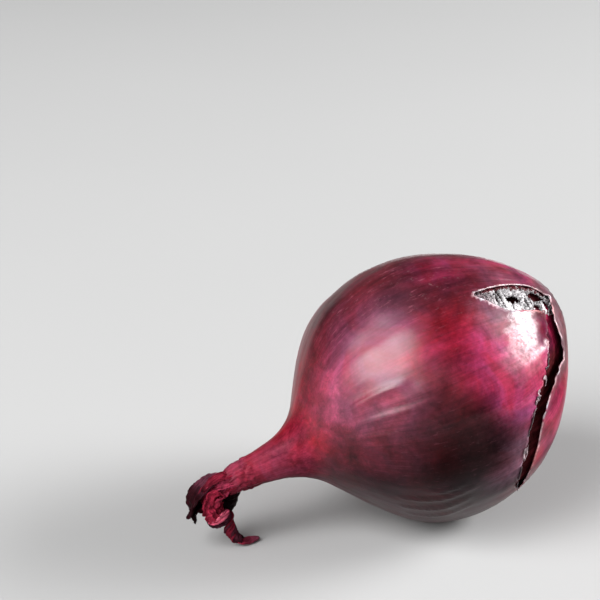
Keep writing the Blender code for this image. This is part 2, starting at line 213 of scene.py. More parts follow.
# Broad colour of the skin, some patches with painted light and shade as noted: (height, angle, reach in mm,
# pigment, strength)
SKIN_TONES = (
    # At the neck, russet on top and maroon underneath: partly its own colour, partly painted top light and
    # underside shade
    (-60, 0, 12, RUSSET, 0.8), (-60, 180, 14, MAROON, 1), (-59, 60, 7, RUSSET, 1.2),
    (-50, 50, 9, NECK_RED, 1.4), (-46, 110, 8, MAROON, 1.2), (-39, 33, 8, CRIMSON, 2.4),
    # Rose and pink under the left highlight: partly the skin's own pink, partly painted sheen
    (-26, 45, 10, ROSE, 0.9), (-16, 38, 11, PINK_UNDER_HIGHLIGHT, 1.8), (-28, 2, 9, MAROON, 1),
    (-20, -12, 12, MAROON, 1.4), (-3, -8, 12, MAROON, 1.2), (0, 14, 9, DEEP, 1.1),
    (2, 30, 7, MAROON, 1.3), (13, 14, 9, MAROON, 1.3), (9, 8, 7, MAGENTA, 0.6),
    (14, 41, 4.5, MAUVE, 3), (26, 12, 8, MAGENTA, 0.9), (24, 16, 5, LILAC, 0.7),
    (0, 44, 8, BLOOD, 3.4), (8, 58, 7, PINK, 2.2), (14, 72, 8, PINK, 2),
    # The black and deep patches low on the front are partly the skin's own dark colour and partly painted
    # dark reflection
    (-9, 62, 7, MAROON, 1.2), (-5, 78, 9, DEEP, 1.6), (-12, 95, 12, BLACK, 1.8),
    (2, 93, 8, BLACK, 1.2), (-27, 80, 10, MAROON, 1.8), (-28, 110, 12, DEEP, 1.2),
    (9.7, 105, 4, LILAC, 2.4), (9, 104, 6, MAUVE, 1.2), (3, 110, 6, MAUVE, 1),
    (21, 108, 8, FLANK, 4), (27, 98, 6, FLANK, 3), (33, 100, 7, FLANK, 1.4),
    # The dark wine patch at (28, 57) is painted shade where the skin turns in towards the crack
    (28, 57, 2.8, TURNED_IN_SHADE, 5), (37.5, 48, 4, FLAP, 9), (36.5, 66, 4, FLAP, 9),
    (36, 86, 4.5, FLAP, 9), (29.5, 87, 3.2, DIM_FLAP, 9), (33, 60, 2.5, FLAP, 5),
    (37, 28, 3, MAUVE, 4), (-12, 128, 12, DEEP, 1.5), (10, 130, 9, MAROON, 1.2),
    (21.5, 120, 4, MAROON, 3), (-8.5, 43, 5, MAGENTA, 1.8), (0, -60, 20, CRIMSON, 0.8),
    (0, -120, 20, MAROON, 1), (25, -90, 14, MAGENTA, 0.9), (-25, -90, 16, CRIMSON, 0.9),
    (25, 170, 14, MAROON, 0.9), (-20, 180, 16, MAROON, 0.8))

# Where the skin is duller: (height, angle, reach in mm, amount)
DULL_PLACES = (
    (-12, 92, 15, 0.9), (3, 92, 11, 0.8), (-28, 100, 13, 0.7), (2, 42, 9, 0.55),
    (2, 0, 14, 0.5), (-22, -8, 12, 0.5), (-2, 150, 16, 0.6), (-34, 0, 10, 0.85),
    (5, 110, 9, 0.7), (28.5, 58, 3.5, 0.95), (37, 45, 4.5, 0.95), (36.5, 62, 5, 0.95),
    (35, 82, 5.5, 0.95), (26, 100, 9, 0.95), (25, 90, 6, 0.8), (18, 118, 7, 0.8),
    (-22, 15, 6, 0.5))

# Leaves of the dried tail: (path, half widths along it, the way the width runs)
HOOD = (
    ((-56, 0, 19.6), (-60, 0, 20), (-64, -0.2, 19.5), (-68.2, -0.4, 16.4),
     (-69.9, -0.4, 12.8), (-68.9, -0.3, 9.4), (-68.2, -0.3, 7.2)),
    (1.3, 1.8, 3.3, 3.9, 3.6, 2.4, 0.5), (0.1, 1, 0.1))
SPUR = (((-66.8, -1.2, 14), (-69, -1.6, 11.8), (-71, -1.9, 10.2)), (1.8, 1.4, 0.5), (0.2, 1, 0.4))
NEAR_LEAF = (
    ((-56, -0.6, 18.5), (-59.8, -1.4, 17.6), (-63.4, -2.6, 16.3), (-64.3, -2.8, 13.4),
     (-63.2, -2.6, 11), (-61.4, -1.8, 9.2)),
    (1.3, 2, 3.1, 3.5, 3.3, 2.4), (0.85, 0.4, 0.35))
# The far leaf and the back leaf are dark to black: painted shade inside the tail; the back leaf is a sheet
# that stands for that shade
FAR_LEAF = (
    ((-58, 0.9, 18), (-57.3, 1.7, 15.7), (-57, 2.2, 13.1), (-57.6, 1.9, 10.7),
     (-59.4, 0.8, 8.8)),
    (1.2, 2.3, 3.6, 3.1, 1.7), (0.8, 0.5, 0.1))
BACK_LEAF = (
    ((-58.6, 0.6, 17.6), (-60.2, 1, 14.6), (-60.6, 1, 11.6), (-61, 0.4, 9.4)),
    (2, 2.9, 2.9, 2), (1, 0.3, 0.1))
SIDE_LEAF = (
    ((-63.6, 0.9, 18), (-64.9, 1, 15), (-65.6, 0.8, 12), (-65.6, 0.4, 9.6)),
    (1.6, 2.6, 2.3, 1.2), (1, 0.3, 0.1))
WRAP = (
    ((-65.2, -2.4, 8.4), (-63.8, -3.7, 8.9), (-61.4, -3.9, 10.1), (-59.4, -2.5, 10.9)),
    (0.7, 1.1, 1.15, 0.8), (-0.3, 0.2, 1))
TIP = (
    ((-57.6, -3.6, 1.9), (-55.8, -3.8, 1.4), (-53.4, -3.2, 1.1), (-50.8, -2.7, 0.9)),
    (0.9, 1.1, 1.1, 0.5), (0.2, 0.8, 0.45))

# Crumpled strips that run from the mouth of the neck over the leaves, each with its two tones
STRIPS = (
    (((-57.8, -1.8, 21.1), (-61.1, -1.8, 21), (-64.4, -1.9, 19.7), (-66.8, -2, 17.4)),
     (1.3, 1.4, 1.3, 0.7), (0.1, 0.9, 0.35), RED_LEAF, DARK_LEAF),
    (((-57.2, -2.8, 19.2), (-60.3, -3.4, 19.3), (-63.5, -3.2, 18.7), (-65.9, -2.8, 17.1),
      (-66.7, -2.4, 14.1)), (1.1, 1.2, 1.1, 1, 0.6), (0.3, 0.6, 0.7), ROSY_LEAF, RED_LEAF),
    (((-56.2, -3, 18.4), (-58.5, -3.2, 18.3), (-61.6, -3.2, 17.4), (-64.1, -3, 16),
      (-65.5, -2.8, 13.5)), (0.9, 1, 1, 0.9, 0.6), (0.3, 0.3, 0.9), RED_LEAF, RED_LEAF),
    (((-55.4, -2.8, 17.6), (-57.4, -3, 17.4), (-59.6, -3, 17.2), (-61.2, -2.6, 16.7),
      (-62.5, -2.2, 15.3)), (0.7, 0.8, 0.8, 0.8, 0.6), (0.3, 0.1, 0.9), DUSKY, DARK_LEAF),
    (((-57, -3, 18.6), (-60, -3.7, 17.6), (-62.6, -4, 15.6), (-63.6, -4.1, 13)),
     (0.8, 1.1, 1.1, 0.7), (0.7, 0.2, 0.7), ROSY_LEAF, RED_LEAF),
    (((-58, -2.6, 19.6), (-61.4, -3, 18.6), (-64.4, -3.2, 16.6), (-65.6, -3.2, 13.6)),
     (0.8, 1.1, 1.1, 0.7), (0.5, 0.5, 0.7), ROSY_LEAF, RED_LEAF))

# The tail's knot and the rope of two strands under it
KNOT = np.array((-62, -0.9, 7.8))
KNOT_HALF_LENGTH, KNOT_HALF_WIDTH, KNOT_HALF_DEPTH = 3.2, 2.5, 1.6
ROPE_PATH = (
    (-60.6, -0.6, 9.4), (-59.4, -0.9, 7.6), (-58.7, -1.6, 4.6), (-57.8, -2.9, 2.8),
    (-56.2, -4, 1.9))
ROPE_STRAND_RADIUS = 1.5
ROPE_STRAND_DEPTH = 0.62
ROPE_WINDING_RADIUS = 1.05
ROPE_TURNS = 1.5

# The root plate's turned section, (radius, height), and its roots, set in a spiral
PLATE_RINGS = (
    (0.05, 36.5), (2, 36.55), (4, 36.5), (5.8, 36.45), (6.7, 36.3), (7.1, 35.9),
    (7.1, 35.5), (6, 35.4), (0.05, 35.4))
PLATE_COLUMNS = 48
ROOT_COUNT, ROOT_SIDES, ROOT_STATIONS = 96, 6, 9
ROOT_LENGTHS = (1.4, 2.8)
ROOT_RADII = (0.16, 0.3)
ROOT_FOOT = 36.2
ROOTS_RADIUS = 6.4
ROOTS_REACH = 8.2
GOLDEN_ANGLE = 2.39996


# Geometry of the laid-down bulb


def smooth_line(points, steps):
    """A Catmull-Rom curve through points, with this many steps between each two."""
    knots = [np.array(point, dtype=float) for point in points]
    knots = [2 * knots[0] - knots[1]] + knots + [2 * knots[-1] - knots[-2]]
    line = []
    for a, b, c, d in zip(knots, knots[1:], knots[2:], knots[3:]):
        for step in range(steps):
            t = step / steps
            line.append(0.5 * (2 * b + (c - a) * t + (2 * a - 5 * b + 4 * c - d) * t ** 2
                               + (3 * b - a - 3 * c + d) * t ** 3))
    line.append(knots[-2])
    return np.array(line)


def outline_table():
    """Arc, radius, height and outward normal at many places down the outline."""
    line = [Vector(OUTLINE[0][0])]
    for span in OUTLINE:
        line += interpolate_bezier(*(Vector(knot) for knot in span), 90)[1:]
    points = np.array([tuple(point)[:2] for point in line])
    steps = np.linalg.norm(np.diff(points, axis=0), axis=1)
    arc = np.concatenate(([0.0], np.cumsum(steps)))
    along = np.gradient(points, arc, axis=0)
    along /= np.linalg.norm(along, axis=1, keepdims=True)
    return arc, points[:, 0], points[:, 1], -along[:, 1], along[:, 0]


TABLE = outline_table()


def arc_at(height):
    return np.interp(-np.asarray(height, dtype=float), -TABLE[2], TABLE[0])


def radius_at(arc):
    return np.interp(arc, TABLE[0], TABLE[1])


def height_at(arc):
    return np.interp(arc, TABLE[0], TABLE[2])


def ease(x):
    x = np.clip(x, 0, 1)
    return x * x * (3 - 2 * x)


def between(value, low, high, fade_in, fade_out):
    """1 from low to high, but for a fade at each end, and 0 beyond them."""
    return ease((value - low) / fade_in) * ease((high - value) / fade_out)


def laid_down(radius, height, angle):
    """Points of the turned shape, with their angle in radians, where they come in the lying onion."""
    swell = 1 + sum(size * np.sin(lobes * angle + phase) for size, lobes, phase in SWELLS)
    root = np.maximum(0, height - ROOT_LIFT_START) / (ROOT_LIFT_END - ROOT_LIFT_START)
    hump = np.maximum(0, 1 - ((height - NECK_HUMP_PLACE) / NECK_HUMP_REACH) ** 2)
    droop = ease((NECK_DROOP_START - height) / (NECK_DROOP_START - NECK_DROOP_END))
    rise = ROOT_LIFT * root ** 2 + NECK_HUMP * hump ** 2 - NECK_DROOP * droop
    up = radius * np.cos(angle) * swell + rise
    front = radius * np.sin(angle) * swell
    return CENTRE + np.outer(height, AXIS) + np.outer(up, UP) + np.outer(front, FRONT)


def ring(radius, height, angle):
    """Points round the axis at one radius, with their angles in radians."""
    return laid_down(np.full(len(angle), radius), height + np.zeros(len(angle)), angle)


def on_skin(arc, angle, lift=0, floor=0):
    """Points of the skin in mm, lifted along the outline's normal, flat where they would sink."""
    radius = radius_at(arc) + lift * np.interp(arc, TABLE[0], TABLE[3])
    height = height_at(arc) + lift * np.interp(arc, TABLE[0], TABLE[4])
    beyond = np.maximum(0, arc - TABLE[0][-1])
    points = laid_down(radius, height - beyond, np.radians(angle))
    points[:, 2] = np.maximum(points[:, 2], floor)
    return points


def noise_at(x, y, z):
    """Smooth noise at one place, from about -1 to 1."""
    return noise.noise(Vector((x, y, z)))


def noise_over(x, y, z):
    """Smooth noise at many places, given as an array for each coordinate."""
    return np.array([noise_at(*place) for place in zip(x, y, z)])


def streaks(arc, angle, across, along, seed):
    """Noise drawn out along the bulb: across cells to the radian, along cells to the mm."""
    turn = np.radians(angle)
    return noise_over(np.cos(turn) * across, np.sin(turn) * across, arc * along + seed)


def waves(arc, angle, layers):
    """Several streaks one over the other, from layers of (size, across, along, seed)."""
    return sum(size * streaks(arc, angle, across, along, seed) for size, across, along, seed in layers)


def blotches(points, size, seed):
    """Noise in round cells of about this size in mm."""
    return np.array([noise.noise(Vector(point) / size + Vector((seed, 0, 0))) for point in points])


def folds(points, size, seed):
    """Sharp creases, 0 at the bottom of a fold and about 1 on its back."""
    return 2.5 * np.abs(blotches(points, size, seed))


def ragged(line, coarse, fine, seed):
    """A line of (arc, angle) with its points moved in and out by noise, in mm."""
    moved = line.copy()
    for i, (arc, angle) in enumerate(line):
        way = line[min(i + 1, len(line) - 1)] - line[max(i - 1, 0)]
        scale = math.radians(1) * radius_at(arc)
        normal = np.array((-way[1] * scale, way[0]))
        normal /= np.linalg.norm(normal)
        shift = coarse * noise_at(i * 0.13, seed, 0) + fine * noise_at(i * 0.41, seed, 5)
        fade = min(1, 4 * i / len(line), 4 * (len(line) - 1 - i) / len(line))
        moved[i, 0] += normal[0] * shift * fade
        moved[i, 1] += normal[1] * shift * fade / scale
    return moved


def tear_sides():
    """The tear's two edges as fine lines of (arc, angle)."""
    sides = []
    for side, coarse, fine, seed in ((TEAR_ROOT_SIDE, 0.35, 0.12, 3), (TEAR_BULB_SIDE, 0.9, 0.16, 8)):
        line = smooth_line(side, 24)
        line = np.stack((arc_at(line[:, 0]), line[:, 1]), axis=1)
        sides.append(ragged(line, coarse, fine, seed))
    return sides


def inside(polygon, points):
    """Which points lie inside a closed polygon."""
    x, y = points[:, 0], points[:, 1]
    found = np.zeros(len(points), dtype=bool)
    for (x0, y0), (x1, y1) in zip(polygon, np.roll(polygon, -1, axis=0)):
        crosses = (y0 > y) != (y1 > y)
        if crosses.any():
            at = x0 + (y - y0) / ((y1 - y0) or 1e-9) * (x1 - x0)
            found ^= crosses & (x < at)
    return found


def nearest(points, line):
    """Distance from each point to the nearest point of a line."""
    best = np.full(len(points), 1e9)
    for i in range(0, len(points), 4000):
        gap = points[i:i + 4000, None] - line[None]
        best[i:i + 4000] = np.sqrt((gap ** 2).sum(axis=2)).min(axis=1)
    return best


def near_place(arc, angle, place, reach):
    """How near skin places are to one (height, angle), from 1 there to 0 well beyond its reach."""
    turn = np.radians((angle - place[1] + 180) % 360 - 180)
    wide = turn * (radius_at(arc) + radius_at(arc_at(place[0]))) / 2
    tall = height_at(arc) - place[0]
    return np.exp(-(wide ** 2 + tall ** 2) / reach ** 2)


# Meshes, and what a piece carries


def new_object(name, data):
    made = bpy.data.objects.new(name, data)
    bpy.context.scene.collection.objects.link(made)
    return made


def new_piece(name, points, faces, replaced, material, smooth_angle=60):
    """A mesh object from points in mm that rides on the onion and stands for a solid."""
    mesh = bpy.data.meshes.new(name)
    mesh.from_pydata([tuple(point) for point in np.asarray(points) * MM], [], faces)
    mesh.validate()
    piece = new_object(name, mesh)
    mesh.shade_smooth()
    mesh.set_sharp_from_angle(angle=math.radians(smooth_angle))
    mesh.materials.append(material)
    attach(piece, "root")
    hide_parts(replaced)
    return piece


def tube_faces(rows, columns):
    """Quads round a tube of rows of points, and a face over each of its ends."""
    faces = []
    for start in range(0, (rows - 1) * columns, columns):
        for column in range(columns):
            a = start + column
            b = start + (column + 1) % columns
            faces.append((a, b, b + columns, a + columns))
    last = (rows - 1) * columns
    return faces + [tuple(reversed(range(columns))), tuple(range(last, last + columns))]


def sheet_faces(rows, columns, value, least):
    """Quads of a grid of points, less those where the points' own value is below the least one."""
    grid = np.arange(rows * columns).reshape(rows, columns)
    quads = np.stack((grid[:-1, :-1], grid[:-1, 1:], grid[1:, 1:], grid[1:, :-1]), axis=-1)
    return [tuple(quad) for quad in quads.reshape(-1, 4).tolist() if value[quad].mean() > least]


def weld(piece):
    """Joins vertices that lie on one another and turns the faces outwards."""
    bm = bmesh.new()
    bm.from_mesh(piece.data)
    bmesh.ops.remove_doubles(bm, verts=bm.verts, dist=0.000002)
    bmesh.ops.recalc_face_normals(bm, faces=bm.faces)
    bm.to_mesh(piece.data)
    bm.free()


def loose_away(piece, least=40):
    """Deletes unused vertices and scraps of a few faces."""
    bm = bmesh.new()
    bm.from_mesh(piece.data)
    seen, scraps = set(), []
    for face in bm.faces:
        if face in seen:
            continue
        island = {face}
        stack = [face]
        while stack:
            for edge in stack.pop().edges:
                for other in edge.link_faces:
                    if other not in island:
                        island.add(other)
                        stack.append(other)
        seen |= island
        if len(island) < least:
            scraps += island
    bmesh.ops.delete(bm, geom=scraps, context="FACES_ONLY")
    bmesh.ops.delete(bm, geom=[vert for vert in bm.verts if not vert.link_faces], context="VERTS")
    bm.to_mesh(piece.data)
    bm.free()


def solidify(piece, thickness):
    """Thickness, in mm, on the inner side of an open sheet."""
    modifier = piece.modifiers.new("thickness", "SOLIDIFY")
    modifier.thickness = thickness * MM
    modifier.offset = -1
    modifier.use_quality_normals = True


def carry(piece, name, values):
    """Gives each of a piece's points its own value or vector."""
    values = np.asarray(values, dtype=np.float32)
    kind, key = ("FLOAT", "value") if values.ndim == 1 else ("FLOAT_VECTOR", "vector")
    piece.data.attributes.new(name, kind, "POINT").data.foreach_set(key, values.ravel())


def blend(first, second, share):
    """Colours from the first to the second, by the share of each place."""
    share = share[:, None]
    return np.asarray(first) * (1 - share) + np.asarray(second) * share


def grain_round(arc, angle, girth=1):
    """Where the noise of streaks is read: round the bulb and down it."""
    turn = np.radians(angle)
    return np.stack((np.cos(turn) * girth, np.sin(turn) * girth, arc / 30), axis=1)


# Materials


class Nodes:
    """Short calls for building the nodes of a material, a light or the world."""

    def __init__(self, owner):
        owner.use_nodes = True
        self.tree = owner.node_tree

    def fill(self, socket, value):
        """Links a socket to another, or sets its value."""
        if isinstance(value, bpy.types.NodeSocket):
            self.tree.links.new(value, socket)
        else:
            socket.default_value = (*value, 1) if socket.type == "RGBA" else value

    def feed(self, node, **inputs):
        """Fills a node's inputs by their names, with an underscore for each space."""
        for name, value in inputs.items():
            self.fill(node.inputs[name.replace("_", " ")], value)
        return node

    def new(self, kind, **inputs):
        return self.feed(self.tree.nodes.new("ShaderNode" + kind), **inputs)

    def attribute(self, name):
        node = self.new("Attribute")
        node.attribute_name = name
        return node.outputs["Vector" if name in ("grain", "tone") else "Fac"]

    def object_place(self):
        return self.new("TexCoord").outputs["Object"]

    def noise(self, vector, scale, detail=2, rough=0.5, stretch=(1, 1, 1), distortion=0):
        place = self.new("Mapping", Vector=vector, Scale=stretch).outputs["Vector"]
        node = self.new("TexNoise", Vector=place, Scale=scale, Detail=detail, Roughness=rough,
                        Distortion=distortion)
        return node.outputs["Fac"]

    def ramp(self, value, *stops):
        """stops are (place, grey) or (place, (r, g, b))."""
        node = self.new("ValToRGB", Fac=value)
        elements = node.color_ramp.elements
        while len(elements) < len(stops):
            elements.new(1)
        for element, (place, colour) in zip(elements, stops):
            element.position = place
            element.color = (*colour, 1) if isinstance(colour, tuple) else (colour, colour, colour, 1)
        return node.outputs["Color"]

    def mix(self, factor, first, second, blend_type="MIX"):
        node = self.new("Mix")
        node.data_type = "RGBA"
        node.blend_type = blend_type
        for i, value in ((0, factor), (6, first), (7, second)):
            self.fill(node.inputs[i], value)
        return node.outputs[2]

    def times(self, first, *others):
        """The product of two or more values."""
        for other in others:
            node = self.new("Math")
            node.operation = "MULTIPLY"
            self.fill(node.inputs[0], first)
            self.fill(node.inputs[1], other)
            first = node.outputs[0]
        return first

    def spread(self, value, low, high, to_low, to_high):
        """value from low..high spread over to_low..to_high."""
        node = self.new("MapRange", Value=value, From_Min=low, From_Max=high, To_Min=to_low, To_Max=to_high)
        return node.outputs["Result"]

    def bump(self, height, strength, distance, **under):
        node = self.new("Bump", Height=height, Strength=strength, Distance=distance * MM, **under)
        return node.outputs["Normal"]


def new_material(name):
    """A new material, its nodes and its shader."""
    material = bpy.data.materials.new(name)
    nodes = Nodes(material)
    return material, nodes, nodes.tree.nodes["Principled BSDF"]


def skin_material():
    """Glossy skin with soft bands and silky streaks from neck to root, mottles and scuffs.

    The piece's own values steer it: tone is its broad colour, calm evens out the streaks round the left
    highlight as a painted milky sheen, wear lets scuffs through, gloss is how shiny it is, and silk trades
    the clear coat for a softer shine.
    """
    material, nodes, shader = new_material("onion_skin")
    grain = nodes.attribute("grain")
    place = nodes.object_place()
    gloss = nodes.attribute("gloss")
    silk = nodes.attribute("silk")
    wear = nodes.attribute("wear")
    band = nodes.noise(grain, 4.5, 3, 0.5, (1, 1, 0.25), 0.6)
    fine = nodes.noise(grain, 20, 4, 0.55, (1, 1, 0.06), 0.3)
    hair = nodes.noise(grain, 60, 3, 0.6, (1, 1, 0.03), 0.1)
    cloud = nodes.noise(place, 130, 7, 0.68, distortion=0.4)
    patch = nodes.noise(place, 60, 4, 0.6, distortion=0.8)
    speck = nodes.noise(place, 850, 3, 0.6)
    gain = nodes.times(nodes.spread(band, 0.35, 0.65, 0.68, 1.24), nodes.spread(fine, 0.3, 0.7, 0.78, 1.2),
                       nodes.spread(cloud, 0.34, 0.66, 0.58, 1.38), nodes.spread(hair, 0.3, 0.7, 0.82, 1.18),
                       nodes.spread(speck, 0.34, 0.66, 0.86, 1.14))
    gain = nodes.mix(nodes.attribute("calm"), gain, (0.95, 0.95, 0.95))
    colour = nodes.mix(1, nodes.attribute("tone"), gain, "MULTIPLY")
    redder = nodes.mix(1, colour, (1.05, 0.72, 0.68), "MULTIPLY")
    bluer = nodes.mix(1, colour, (1, 1.8, 1.8), "MULTIPLY")
    colour = nodes.mix(nodes.spread(patch, 0.36, 0.64, 0, 1), redder, bluer)
    fleck = nodes.noise(grain, 30, 4, 0.7, (1, 1, 0.6))
    colour = nodes.mix(nodes.times(nodes.ramp(fleck, (0.6, 0), (0.72, 0.6)), wear), colour, PAPER)
    line = nodes.noise(grain, 55, 3, 0.6, (1, 1, 0.14), 0.4)
    colour = nodes.mix(nodes.times(nodes.ramp(line, (0.62, 0), (0.7, 0.55)), wear), colour, SCRATCH)
    coat = nodes.times(nodes.spread(cloud, 0.38, 0.58, 0.35, 1), nodes.spread(speck, 0.36, 0.56, 0.3, 1),
                       nodes.spread(silk, 0, 1, 1, 0.12), gloss)
    level = nodes.times(gloss, nodes.spread(silk, 0, 1, 0.3, 0.95))
    relief = nodes.bump(cloud, 0.22, 0.22)
    relief = nodes.bump(hair, 0.18, 0.05, Normal=relief)
    relief = nodes.bump(fine, 0.15, 0.12, Normal=relief)
    rough = nodes.spread(cloud, 0.3, 0.7, 0.28, 0.42)
    nodes.feed(shader, Base_Color=colour, Roughness=rough, Normal=relief, IOR=1.36, Specular_IOR_Level=level,
               Coat_Weight=coat, Coat_Roughness=0.09, Coat_IOR=1.42)
    return material


def toned_material(name, ior, shine, grain_size, stretch, relief_size, level=0.5):
    """A material that takes its colour from the piece's own tone, darker and lighter along its grain."""
    material, nodes, shader = new_material(name)
    lines = nodes.noise(nodes.attribute("grain"), grain_size, 4, 0.6, (1, 1, stretch), 0.3)
    cloud = nodes.noise(nodes.object_place(), 420, 4, 0.6)
    gain = nodes.times(nodes.spread(lines, 0.32, 0.68, 0.35, 1.75),
                       nodes.spread(cloud, 0.34, 0.66, 0.5, 1.5))
    colour = nodes.mix(1, nodes.attribute("tone"), gain, "MULTIPLY")
    nodes.feed(shader, Base_Color=colour, Roughness=nodes.spread(cloud, 0.3, 0.7, shine, shine + 0.18),
               Normal=nodes.bump(lines, 0.5, relief_size), IOR=ior, Specular_IOR_Level=level)
    return material


def root_material():
    """Dry roots: tan to brown."""
    material, nodes, shader = new_material("dry_root")
    cloud = nodes.noise(nodes.object_place(), 500, 4, 0.6)
    colour = nodes.ramp(cloud, (0.3, (0.1, 0.045, 0.02)), (0.55, (0.36, 0.22, 0.11)),
                        (0.75, (0.58, 0.44, 0.27)))
    nodes.feed(shader, Base_Color=colour, Roughness=nodes.ramp(cloud, (0.3, 0.75), (0.7, 0.92)),
               Normal=nodes.bump(cloud, 0.6, 0.1), IOR=1.4)
    return material


def floor_material():
    material, nodes, shader = new_material("floor")
    cloud = nodes.noise(nodes.object_place(), 3, 2, 0.5)
    nodes.feed(shader, Base_Color=nodes.ramp(cloud, (0.2, FLOOR_GREY), (0.8, FLOOR_GREY * 1.04)),
               Roughness=0.9, Specular_IOR_Level=0)
    return material


# The skin


def skin_places(sides):
    """Places of the skin's vertices and its triangles, cut out along the tear."""
    crumpled = arc_at(CRUMPLED_FROM)
    neck_rows = np.linspace(crumpled, arc_at(SKIN_MOUTH), NECK_ROWS)
    rows = np.concatenate((np.linspace(0, crumpled, SKIN_ROWS)[:-1], neck_rows))
    arcs, angles = np.meshgrid(rows, np.linspace(-180, 180, SKIN_COLUMNS + 1), indexing="ij")
    tear = np.concatenate((sides[0], sides[1][::-1]))
    flat = np.stack((angles.ravel() * MM_PER_DEGREE, arcs.ravel()), axis=1)
    flat_tear = np.stack((tear[:, 1] * MM_PER_DEGREE, tear[:, 0]), axis=1)
    flat = flat[nearest(flat, flat_tear) > TEAR_CLEARANCE]
    middle = flat + np.array((MM_PER_DEGREE * 180 / SKIN_COLUMNS, rows[1] / 2))
    near_tear = nearest(middle, flat_tear)
    middle = middle[(near_tear > TEAR_CLEARANCE) & (near_tear < TEAR_STRIP)]
    kept = [net[~inside(flat_tear, net)] for net in (flat, middle)]
    points = [Vector(point) for point in np.concatenate([flat_tear] + kept)]
    count = len(flat_tear)
    edges = [(i, (i + 1) % count) for i in range(count)]
    vertices, _, faces, *_ = delaunay_2d_cdt(points, edges, [], 0, 1e-6, False)
    vertices = np.array([tuple(vertex) for vertex in vertices])
    centres = vertices[np.array(faces)].mean(axis=1)
    faces = [tuple(face) for face, gone in zip(faces, inside(flat_tear, centres)) if not gone]
    return vertices[:, 1], vertices[:, 0] / MM_PER_DEGREE, faces


def ridge(arc, angle, start, end, half_width, height):
    """A raised crease between two places, steeper on one side and thinning out at its ends."""
    a = np.array((arc_at(start[0]), start[1]))
    b = np.array((arc_at(end[0]), end[1]))
    scale = np.radians(1) * radius_at((a[0] + b[0]) / 2)
    way = (b - a) * np.array((1, scale))
    length = np.linalg.norm(way)
    way /= length
    x = arc - a[0]
    y = (angle - a[1]) * scale
    along = (x * way[0] + y * way[1]) / length
    off = y * way[0] - x * way[1]
    taper = np.clip(4 * along * (1 - along), 0, 1) ** 0.7
    side = np.where(off > 0, half_width * 0.45, half_width)
    return height * taper * np.exp(-(off / side) ** 2)


def tear_lift(arc, angle, base, to_root, to_bulb):
    """How far the torn edges stand off: the flap curls up, the other side is partly turned in."""
    flap = between(angle, *FLAP_SPAN)
    slit = ease((52 - angle) / 8)
    curl = 1 + (0.9 - 0.5 * flap) * blotches(base, 2.2, 9)
    root_lift = (0.25 + 0.9 * flap) * np.exp(-(to_root / (0.9 + 1.9 * flap)))
    bulb_lift = (0.1 + 0.22 * slit) * np.exp(-to_bulb / 0.9)
    turned_in = 0.6 * between(angle, *TURNED_IN_SPAN) * np.exp(-(to_bulb / 2.4) ** 2)
    ribbed = 0.06 * between(angle, *RIBBED_SPAN) * np.exp(-((to_bulb - 1.2) / 1.4) ** 2)
    ribs = ribbed * np.sin(np.radians(angle) * radius_at(arc) * 2 * math.pi / RIB_SPACING)
    lift = curl * np.where(to_root < to_bulb, root_lift, bulb_lift)
    return lift + (ribs - turned_in) * (to_bulb < to_root)


def skin_lift(arc, angle, base, to_root, to_bulb):
    """How far the skin stands off its smooth outline."""
    neck = ease((arc - arc_at(-30)) / (arc_at(-46) - arc_at(-30)))
    crumple = ease((arc - arc_at(-52)) / 6)
    girth = np.clip(radius_at(arc) / 30, 0.1, 1)
    lift = girth * waves(arc, angle, BULB_WAVES) + neck * waves(arc, angle, NECK_WAVES)
    lift += 0.2 * blotches(base, 14, 2) + 0.07 * blotches(base, 4, 6)
    lift += 0.6 * near_place(arc, angle, SHOULDER, 9)
    lift += crumple * (0.4 * folds(base, 1.9, 14) + 0.22 * folds(base, 0.9, 17) - 0.25)
    for start, end, half_width, height in CREASES:
        lift += ridge(arc, angle, start, end, half_width, height)
    lift += tear_lift(arc, angle, base, to_root, to_bulb)
    lift += 0.12 * np.exp(-arc / 1.5) * (1 + streaks(arc, angle, 6, 0, 4) * 1.5)
    return lift - 0.12


def mouth_reach(angle):
    """How far the frayed mouth reaches past the end of the neck: long on top and in front."""
    return 1.2 + 2.4 * np.cos(np.radians(angle - 30)) + waves(angle * 0, angle, MOUTH_TEETH)


def skin_points(arc, angle, lift, box):
    """The skin's vertices in mm, frayed at both rims and kept inside the solids' box."""
    at_mouth = ease((arc - arc_at(SKIN_MOUTH) + 3) / 3)
    at_rim = np.exp(-arc / 1.2)
    long_arc = arc + at_mouth * mouth_reach(angle) + at_rim * np.abs(waves(arc * 0, angle, RIM_TEETH))
    points = on_skin(long_arc, angle, lift)
    points[:, 2] -= MOUTH_DROOP * np.maximum(0, long_arc - arc_at(MOUTH_DROOP_START)) ** 2
    return np.clip(points, box[0] / MM + SKIN_MARGIN, box[1] / MM - SKIN_MARGIN)


def skin_tone(arc, angle):
    """The broad colour of the skin, mixed from its pigments."""
    total = np.full(len(arc), 0.02)
    mixed = np.outer(total, MAROON)
    for height, patch_angle, reach, pigment, strength in SKIN_TONES:
        weight = strength * near_place(arc, angle, (height, patch_angle), reach)
        total += weight
        mixed += np.outer(weight, pigment)
    return mixed / total[:, None]


def torn_tone(tone, angle, base, to_root, to_bulb):
    """A tone with the pale lip of the tear, partly the torn edge's own pale colour and partly painted
    highlight where the edge catches light; on the bulb side the lip is mostly hidden along the crack and
    where that side is turned in.
    """
    edge = np.minimum(to_root, to_bulb)
    lip = np.clip(np.exp(-(edge / 0.25) ** 2) * (0.75 + 1.4 * blotches(base, 1.5, 31)), 0, 1)
    hidden = np.maximum(ease((angle - CRACK_START) / 3), between(angle, *HIDDEN_LIP_SPAN))
    return blend(tone, LIP, lip * np.where(to_bulb < to_root, 1 - 0.85 * hidden, 1))


